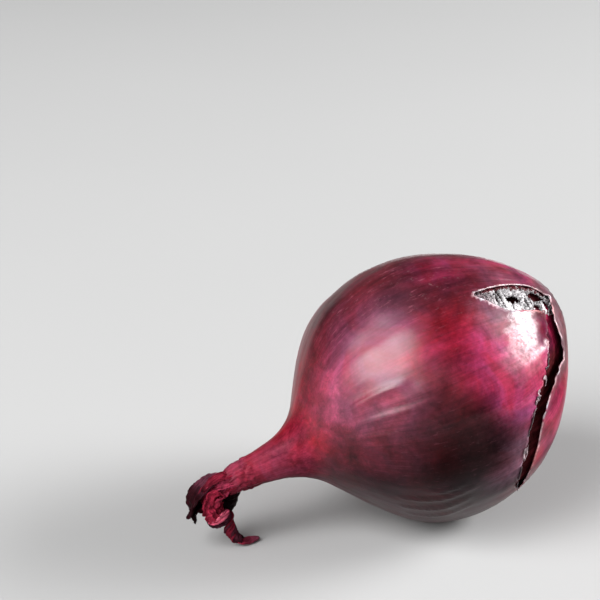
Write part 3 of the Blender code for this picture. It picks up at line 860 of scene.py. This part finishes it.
def skin_gloss(arc, angle):
    gloss = np.ones(len(arc))
    for height, patch_angle, reach, amount in DULL_PLACES:
        gloss *= 1 - amount * near_place(arc, angle, (height, patch_angle), reach)
    return gloss * (1 - 0.92 * ease((arc - arc_at(-36)) / 8))


def skin_wear(arc, angle):
    """Where scuffs show: on top of the bulb and at the end of the neck."""
    on_top = np.exp(-((height_at(arc) + 5) / 22) ** 2 - ((angle - 4) / 24) ** 2)
    return 0.15 + 0.85 * on_top + 0.4 * ease((arc - arc_at(-46)) / 8)


def build_skin(material, sides, box):
    arc, angle, faces = skin_places(sides)
    base = on_skin(arc, angle)
    to_root, to_bulb = (nearest(base, on_skin(*side.T)) for side in sides)
    points = skin_points(arc, angle, skin_lift(arc, angle, base, to_root, to_bulb), box)
    skin = new_piece("torn_skin", points, faces, "outer_skin", material)
    carry(skin, "grain", grain_round(arc, angle, np.clip(radius_at(arc) / 24, 0.25, 1)))
    carry(skin, "tone", torn_tone(skin_tone(arc, angle), angle, base, to_root, to_bulb))
    carry(skin, "wear", skin_wear(arc, angle))
    carry(skin, "gloss", skin_gloss(arc, angle))
    # calm evens the colour out round the left highlight, as a painted milky sheen
    carry(skin, "calm", 0.75 * near_place(arc, angle, LEFT_HIGHLIGHT, 11))
    carry(skin, "silk", ease((arc - arc_at(4)) / 12))
    weld(skin)
    solidify(skin, SKIN_THICKNESS)


# The layer under the skin, and the torn film over it


def inner_depth(arc, angle, to_middle):
    """How deep the layer lies: sunk in a groove along the tear, and ribbed all round."""
    groove = np.exp(-(to_middle / 2.4) ** 2)
    sunk = 0.9 * ease((angle - FRINGE_START) / 12) + 1.6 * ease((46 - angle) / 8)
    ribs = 0.12 * np.abs(streaks(arc, angle, 20, 0.1, 4))
    return 0.6 + 0.35 * (1 - groove) + groove * sunk + ribs


def inner_tone(angle, to_middle, to_flap):
    """Magenta, with painted light at the flap's foot where the flap shades it, and painted shade in the
    hollow of the crack and under the slit.
    """
    hollow = np.exp(-(to_middle / 6) ** 4) * (ease((angle - CRACK_START) / 7) + ease((48 - angle) / 8))
    tone = blend(INNER_MAGENTA, INNER_PAINTED_LIGHT, np.exp(-(to_flap / 1.5) ** 2))
    return blend(tone, HOLLOW_SHADE, np.clip(hollow, 0, 1))


def build_inner(material, sides):
    """The bulb's own surface, sunk under the crack, with the recess of the root plate."""
    arcs = np.linspace(arc_at(INNER_TOP), arc_at(INNER_END), INNER_ROWS)
    angles = np.linspace(0, 360, INNER_COLUMNS, endpoint=False)
    recess = [ring(radius, height, np.radians(angles)) for radius, height in reversed(ROOT_RECESS)]
    arc, angle = [grid.ravel() for grid in np.meshgrid(arcs, angles, indexing="ij")]
    base = on_skin(arc, angle, -INNER_DEPTH, INNER_DEPTH)
    middle = (sides[0] + sides[1]) / 2
    to_middle = nearest(base, on_skin(*middle.T, -INNER_DEPTH))
    to_flap = nearest(base, on_skin(*sides[0].T, -INNER_DEPTH))
    surface = on_skin(arc, angle, -inner_depth(arc, angle, to_middle), INNER_DEPTH)
    faces = tube_faces(len(recess) + INNER_ROWS, INNER_COLUMNS)
    inner = new_piece("inner_layer", np.concatenate(recess + [surface]), faces, "bulb", material)
    in_recess = np.zeros(len(recess) * INNER_COLUMNS)
    all_angles = np.concatenate((np.tile(angles, len(recess)), angle))
    carry(inner, "grain", grain_round(np.concatenate((in_recess, arc)), all_angles))
    tone = inner_tone(angle, to_middle, to_flap)
    carry(inner, "tone", np.concatenate((np.tile(MAROON, (len(in_recess), 1)), tone)))
    weld(inner)


def slit_holes(base, height, share):
    """How far each place of the film lies in a hole, about 1 in the middle of one."""
    hole = np.zeros(len(height))
    for hole_height, hole_share, half_length, half_share in SLIT_HOLES:
        away = ((height - hole_height) / half_length) ** 2 + ((share - hole_share) / half_share) ** 2
        hole = np.maximum(hole, np.exp(-away * 0.9))
    return hole + 0.35 * blotches(base, 0.9, 21)


def film_tone(arc, angle, share, fold, hole):
    """Silver on the folds, partly painted reflection; dark in the folds and round the holes, painted shade;
    rosy at the tip; maroon like the skin at the upper edge, painted shade under the lip.
    """
    height = height_at(arc)
    bright = np.clip((fold - 0.25) * 1.6, 0, 1) * np.clip(1.2 - 1.6 * hole, 0, 1)
    bright *= (0.6 + 0.4 * ease((share - 0.2) / 0.4)) * (0.8 + 0.2 * ease((height - 15) / 5))
    tone = blend(DARK_FILM_AND_SHADE, blend(SILVER, FRAY, ease((19 - height) / 5)), bright)
    return blend(tone, MAROON, ease((0.24 + 0.08 * streaks(arc, angle, 30, 0.5, 2) - share) / 0.06))


def build_membrane(material):
    """A thin crinkled sheet in the slit, with holes; the wrinkles run across it like a comb."""
    arcs = arc_at(np.linspace(SLIT_TIP, SLIT_END, FILM_ROWS))
    shares = np.linspace(0, 1, FILM_COLUMNS)
    arc, share = [grid.ravel() for grid in np.meshgrid(arcs, shares, indexing="ij")]
    height = height_at(arc)
    upper = np.interp(height, *np.array(SLIT_UPPER).T)
    lower = np.interp(height, *np.array(SLIT_LOWER).T)
    angle = upper + (lower - upper) * share
    base = on_skin(arc, angle)
    comb = 2.4 * np.abs(noise_over(height * 1.3 + share * 1.6, share * 0.7, arc * 0))
    fold = 0.5 * comb + 0.5 * folds(base, 0.65, 3)
    hole = slit_holes(base, height, share)
    swell = np.clip(4 * share * (1 - share), 0, 1) ** 0.6
    points = on_skin(arc, angle, -0.8 + swell * (0.75 * fold + 0.1) - 0.5 * np.clip(hole, 0, 1))
    faces = sheet_faces(FILM_ROWS, FILM_COLUMNS, -hole, -0.55)
    membrane = new_piece("membrane", points, faces, "bulb", material, 80)
    carry(membrane, "tone", film_tone(arc, angle, share, fold, hole))
    carry(membrane, "grain", base / 3)
    loose_away(membrane)
    solidify(membrane, FILM_THICKNESS)


def build_fringe(material, side):
    """Torn scraps of film along the crack's bulb side, curling out over the edge and into the crack."""
    line = side[(side[:, 0] > arc_at(FRINGE_TOP)) & (side[:, 1] > FRINGE_START)]
    share = np.linspace(-0.5, 1, FRINGE_COLUMNS)
    points, patches = [], []
    for i, (arc, angle) in enumerate(line):
        patch = math.exp(-((angle - 80) / 5) ** 2) + math.exp(-((angle - 104) / 4) ** 2)
        reach = 0.25 + 1.5 * patch + 0.9 * noise_at(i * 0.09, 4, 0) * (0.4 + patch)
        across = max(0.2, reach) * share
        lift = 0.25 - 0.45 * np.maximum(0, share) ** 1.3 + 0.35 * noise_at(i * 0.3, 1, 0)
        turned = angle + np.degrees(FRINGE_WAY[1] * across / radius_at(arc))
        points.append(on_skin(arc + FRINGE_WAY[0] * across, turned, lift))
        patches.append(patch)
    points = np.concatenate(points)
    scrap = blotches(points, 2, 41) + 0.35 * blotches(points, 0.7, 43)
    faces = sheet_faces(len(line), FRINGE_COLUMNS, scrap, -0.1)
    fringe = new_piece("torn_scraps", points, faces, "bulb", material, 80)
    # The scraps are pale in blotches, mostly at two patches, and darken as they dip into the crack: that
    # darkening is painted shade
    bright = np.clip(0.65 + 1.6 * blotches(points, 1.1, 47) - 0.3 * np.tile(share, len(line)), 0.02, 1)
    carry(fringe, "tone", blend(DARK_FILM_AND_SHADE, FRAY, bright * (0.25 + 0.75 * np.repeat(patches, FRINGE_COLUMNS))))
    carry(fringe, "grain", points / 3)
    loose_away(fringe, 12)
    solidify(fringe, FILM_THICKNESS)


# The tail


def along_line(line, i):
    way = line[min(i + 1, len(line) - 1)] - line[max(i - 1, 0)]
    return way / np.linalg.norm(way)


def swept(name, line, wide, thick, width_ways, material, seed, tones,
          sides=20, ridges=0.18, crinkle=0.25, cup=0.3):
    """A closed strand: an ellipse swept along a line, cupped, with lengthwise pleats and crinkles.

    tones are its colours from its start to its end.
    """
    points, grain, tone = [], [], []
    for i, place in enumerate(line):
        share = i / (len(line) - 1)
        shade = [np.interp(share, np.linspace(0, 1, len(tones)), values) for values in zip(*tones)]
        along = along_line(line, i)
        across = width_ways[i] - along * (width_ways[i] @ along)
        across /= np.linalg.norm(across)
        normal = np.cross(along, across)
        close = math.sqrt(max(0, 1 - (2 * share - 1) ** 12))
        for side in range(sides):
            turn = 2 * math.pi * side / sides
            x, y = math.cos(turn), math.sin(turn)
            reach = x * wide[i]
            pleat = abs(noise_at(reach * 1.3 + seed, share * 1.5, 0)) * 2
            pleat += abs(noise_at(reach * 2.9 + seed, share * 3, 7)) - 0.5
            fold = noise_at(x * 1.3 + seed, i * 0.22, 3)
            tooth = noise_at(seed, i * 0.45, 9.0 + round(x)) + 0.6 * noise_at(seed, i * 1.3, round(x))
            half = wide[i] * close * (1 + crinkle * tooth)
            bend = cup * wide[i] * (1 - x * x) + fold * crinkle * wide[i]
            depth = thick * y + ridges * pleat * min(wide[i], 1.6)
            point = place + (across * x * half + normal * (bend + depth) * close)
            point[2] = max(point[2], 0.05)
            points.append(point)
            grain.append((reach * 0.6, y * 0.3 + seed, i * 0.06))
            tone.append(shade)
    piece = new_piece(name, points, tube_faces(len(line), sides), "bulb", material, 40)
    carry(piece, "grain", grain)
    carry(piece, "tone", tone)
    weld(piece)


def leaf_piece(name, leaf, material, seed, tones, thick=0.22, **looks):
    path, half_widths, width_way = leaf
    line = smooth_line(path, 12)
    wide = smooth_line([(width, 0) for width in half_widths], 12)[:, 0]
    ways = [np.array(width_way)] * len(line)
    swept(name, line, wide, thick, ways, material, seed, tones, **looks)


def build_leaves(material):
    # The hood darkens towards its end, partly painted shade, and the far and back leaves are black: painted
    # shade inside the tail
    leaf_piece("tail_hood", HOOD, material, 1, (RED_LEAF, DUSKY, DARK_LEAF, DARK_LEAF, DARK_LEAF),
               sides=48, cup=0.35, crinkle=0.12, ridges=0.14)
    leaf_piece("tail_spur", SPUR, material, 2, (DARK_LEAF, DARK_LEAF))
    leaf_piece("tail_near_leaf", NEAR_LEAF, material, 3, (RED_LEAF, RED_LEAF),
               sides=44, cup=0.35, crinkle=0.22, ridges=0.45)
    leaf_piece("tail_far_leaf", FAR_LEAF, material, 4, (DARK_LEAF, BLACK),
               sides=40, cup=0.35, crinkle=0.14)
    leaf_piece("tail_back_leaf", BACK_LEAF, material, 5.5, (BLACK, BLACK), sides=40, cup=0.2, crinkle=0.14)
    leaf_piece("tail_side_leaf", SIDE_LEAF, material, 9.5, (RED_LEAF, DARK_LEAF),
               sides=32, cup=0.2, crinkle=0.14)
    # The wrap is pale pink in its middle: partly its own colour, partly a painted highlight
    leaf_piece("tail_wrap", WRAP, material, 5, (ROSY_LEAF, PINK_LEAF_HIGHLIGHT, ROSY_LEAF), thick=0.35,
               sides=28, cup=0.15, crinkle=0.14, ridges=0.35)
    leaf_piece("tail_tip", TIP, material, 6, (RED_LEAF, DUSKY), thick=0.4,
               sides=24, cup=0.15, crinkle=0.12)
    for i, (path, widths, way, start, end) in enumerate(STRIPS):
        leaf_piece(f"tail_strip_{i}", (path, widths, way), material, 20.0 + 3 * i, (start, end),
                   sides=24, ridges=0.35, cup=0.4)


def build_rope(material):
    """Two strands wound round each other, with their feet on the surface."""
    line = smooth_line(ROPE_PATH, 20)
    shares = np.linspace(0, 1, len(line))
    wide = ROPE_STRAND_RADIUS * (1.1 + 0.35 * np.sin(math.pi * shares) - 0.35 * shares)
    for strand, shade in enumerate((DUSKY, RED_LEAF)):
        wound, ways = [], []
        for i, place in enumerate(line):
            along = along_line(line, i)
            across = np.cross(along, (0, 1, 0))
            across /= np.linalg.norm(across)
            turn = 2 * math.pi * ROPE_TURNS * shares[i] + math.pi * strand
            out = across * math.cos(turn) + np.cross(along, across) * math.sin(turn)
            wound.append(place + out * ROPE_WINDING_RADIUS * (1.3 - 0.6 * shares[i]))
            ways.append(np.cross(along, out))
        wound = np.array(wound)
        wound[:, 2] = np.maximum(wound[:, 2], wide * 0.9 + 0.1)
        swept(f"tail_rope_{strand}", wound, wide, ROPE_STRAND_DEPTH, ways, material, 7.0 + strand,
              (shade, DARK_LEAF), sides=28, ridges=0.35, cup=0.1, crinkle=0.12)


def build_knot(material):
    """The lump where the leaves are drawn together."""
    shares = np.linspace(-0.96, 0.96, 25)
    line = KNOT + np.outer(shares, (KNOT_HALF_LENGTH, 0, 0))
    wide = KNOT_HALF_WIDTH * np.sqrt(1 - shares ** 2)
    ways = [np.array((0, 0.2, 1))] * len(line)
    swept("tail_knot", line, wide, KNOT_HALF_DEPTH, ways, material, 11, (DARK_LEAF, DUSKY),
          sides=36, ridges=0.35, cup=0, crinkle=0.1)


# The roots


def build_root_plate(material):
    """The corky plate that the roots grow from."""
    angles = np.radians(np.linspace(0, 360, PLATE_COLUMNS, endpoint=False))
    points = []
    for radius, height in PLATE_RINGS:
        bumps = noise_over(np.cos(angles) * radius, np.sin(angles) * radius, height + angles * 0)
        points.append(ring(radius, height + 0.35 * bumps * min(1, radius), angles))
    faces = tube_faces(len(PLATE_RINGS), PLATE_COLUMNS)
    new_piece("root_plate", np.concatenate(points), faces, "root_tuft", material, 50)


def root_points(i, draw):
    """One root, tapering and leaning out from its place in the spiral, with the axis upright."""
    distance = ROOTS_RADIUS * math.sqrt((i + 0.5) / ROOT_COUNT)
    outwards = np.array((math.cos(i * GOLDEN_ANGLE), math.sin(i * GOLDEN_ANGLE), 0))
    foot = distance * outwards + np.array((0, 0, ROOT_FOOT))
    way = np.array((0, 0, 1)) + 0.6 * outwards * (0.4 + distance / 7.2)
    curl = np.array((draw.uniform(-1, 1), draw.uniform(-1, 1), 0))
    length = draw.uniform(*ROOT_LENGTHS)
    thick = draw.uniform(*ROOT_RADII)
    points = []
    for share in np.linspace(0, 1, ROOT_STATIONS):
        wave = 0.25 * np.array((math.sin(5 * share + i), math.cos(4 * share + 2 * i), 0)) * share
        spot = foot + length * (share * way + 0.42 * share ** 2 * curl) + wave
        reach = np.hypot(spot[0], spot[1])
        if reach > ROOTS_REACH:
            spot[:2] *= ROOTS_REACH / reach
        radius = thick * (1 - 0.6 * share)
        for side in range(ROOT_SIDES):
            turn = 2 * math.pi * side / ROOT_SIDES
            points.append(spot + radius * np.array((math.cos(turn), math.sin(turn), 0)))
    return points


def build_root_strands(material):
    """The short dried roots."""
    draw = random.Random(5)
    tube = tube_faces(ROOT_STATIONS, ROOT_SIDES)
    points, faces = [], []
    for i in range(ROOT_COUNT):
        faces += [tuple(len(points) + corner for corner in face) for face in tube]
        points += root_points(i, draw)
    x, y, height = np.array(points).T
    placed = laid_down(np.hypot(x, y), height, np.arctan2(y, x))
    new_piece("root_strands", placed, faces, "root_tuft", material, 60)


# Camera, light and floor


def facing(back, across, place):
    """The matrix of a camera or light at a place, looking away from its back."""
    turned = Matrix((across, back.cross(across), back)).transposed().to_4x4()
    turned.translation = place
    return turned


def add_camera():
    data = bpy.data.cameras.new("camera")
    data.sensor_width = CAMERA_SENSOR
    data.lens = CAMERA_LENS
    data.clip_start = 0.01
    camera = new_object("camera", data)
    flat = math.cos(CAMERA_ELEVATION)
    back = Vector((math.sin(CAMERA_AZIMUTH) * flat, -math.cos(CAMERA_AZIMUTH) * flat,
                   math.sin(CAMERA_ELEVATION)))
    right = Vector((math.cos(CAMERA_AZIMUTH), math.sin(CAMERA_AZIMUTH), 0))
    camera.matrix_world = facing(back, right, CAMERA_AIM + back * CAMERA_DISTANCE)
    bpy.context.scene.camera = camera


def softbox(name, centre, edge_way, half_angles, radiance, peak, reach, fading, even=0):
    """An area light that faces the onion and is brightest at one place.

    centre is the direction to its middle and edge_way the direction across it; half_angles are how
    wide it looks across and along. peak is its brightest place, from 0 to 1 across and along, and
    reach how far from there, on the same scale, it takes to fade, after an even share of that way.
    """
    width, height = (2 * LIGHT_DISTANCE * math.tan(math.radians(half)) for half in half_angles)
    data = bpy.data.lights.new(name, "AREA")
    data.shape = "RECTANGLE"
    data.size = width
    data.size_y = height
    data.energy = radiance * math.pi * width * height
    nodes = Nodes(data)
    place = nodes.new("NewGeometry").outputs["Parametric"]
    away = nodes.new("Mapping", Vector=place, Location=(*peak, 0), Scale=(*reach, 1))
    away.vector_type = "TEXTURE"
    distance = nodes.new("VectorMath")
    distance.operation = "LENGTH"
    nodes.fill(distance.inputs[0], away.outputs["Vector"])
    fade = nodes.new("MapRange", Value=distance.outputs["Value"], From_Min=even, To_Min=1, To_Max=fading)
    fade.interpolation_type = "SMOOTHSTEP"
    nodes.feed(nodes.tree.nodes["Emission"], Strength=fade.outputs["Result"])
    back = Vector(centre).normalized()
    across = Vector(edge_way)
    across = (across - back * across.dot(back)).normalized()
    new_object(name, data).matrix_world = facing(back, across, LIGHT_AIM + back * LIGHT_DISTANCE)


def add_floor():
    mesh = bpy.data.meshes.new("floor")
    corners = [(-1, -1), (1, -1), (1, 1), (-1, 1)]
    mesh.from_pydata([(x * FLOOR_REACH, y * FLOOR_REACH, 0) for x, y in corners], [], [(0, 1, 2, 3)])
    mesh.materials.append(floor_material())
    floor = new_object("floor", mesh)
    floor.location.z = -FLOOR_GAP


def add_lights():
    softbox("left_softbox", (-0.793, -0.305, 0.544), (0.8995, -0.4185, 0.1272), (24, 30), 12,
            (0.6, 0.72), (0.8, 0.75), 0.05)
    softbox("left_fill", (-0.976, -0.05, 0.21), (0, 1, 0), (14, 12), 2.5, (0.5, 0.5), (1, 1), 0.3)
    softbox("right_softbox", (0.898, -0.212, 0.386), (0.22, 0.97, 0), (23, 15.5), 34,
            (0.6, 0.67), (0.54, 0.6), 0.04, 0.1)
    world = bpy.data.worlds.new("studio")
    nodes = Nodes(world)
    nodes.feed(nodes.tree.nodes["Background"], Color=(1, 1, 1), Strength=AMBIENT)
    bpy.context.scene.world = world
    bpy.context.scene.view_settings.view_transform = "Standard"
    bpy.context.scene.view_settings.look = "None"


def main():
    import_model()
    cad_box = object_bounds()
    add_camera()
    add_floor()
    add_lights()
    sides = tear_sides()
    leaf = toned_material("dried_leaf", 1.4, 0.5, 14, 0.08, 0.15, 0.05)
    film = toned_material("membrane", 1.45, 0.25, 9, 1, 0.1)
    root = root_material()
    build_skin(skin_material(), sides, np.array(cad_box))
    build_inner(toned_material("inner_layer", 1.38, 0.4, 20, 0.1, 0.1, 0.02), sides)
    build_membrane(film)
    build_fringe(film, sides[1])
    build_leaves(leaf)
    build_rope(leaf)
    build_knot(leaf)
    build_root_plate(root)
    build_root_strands(root)


main()
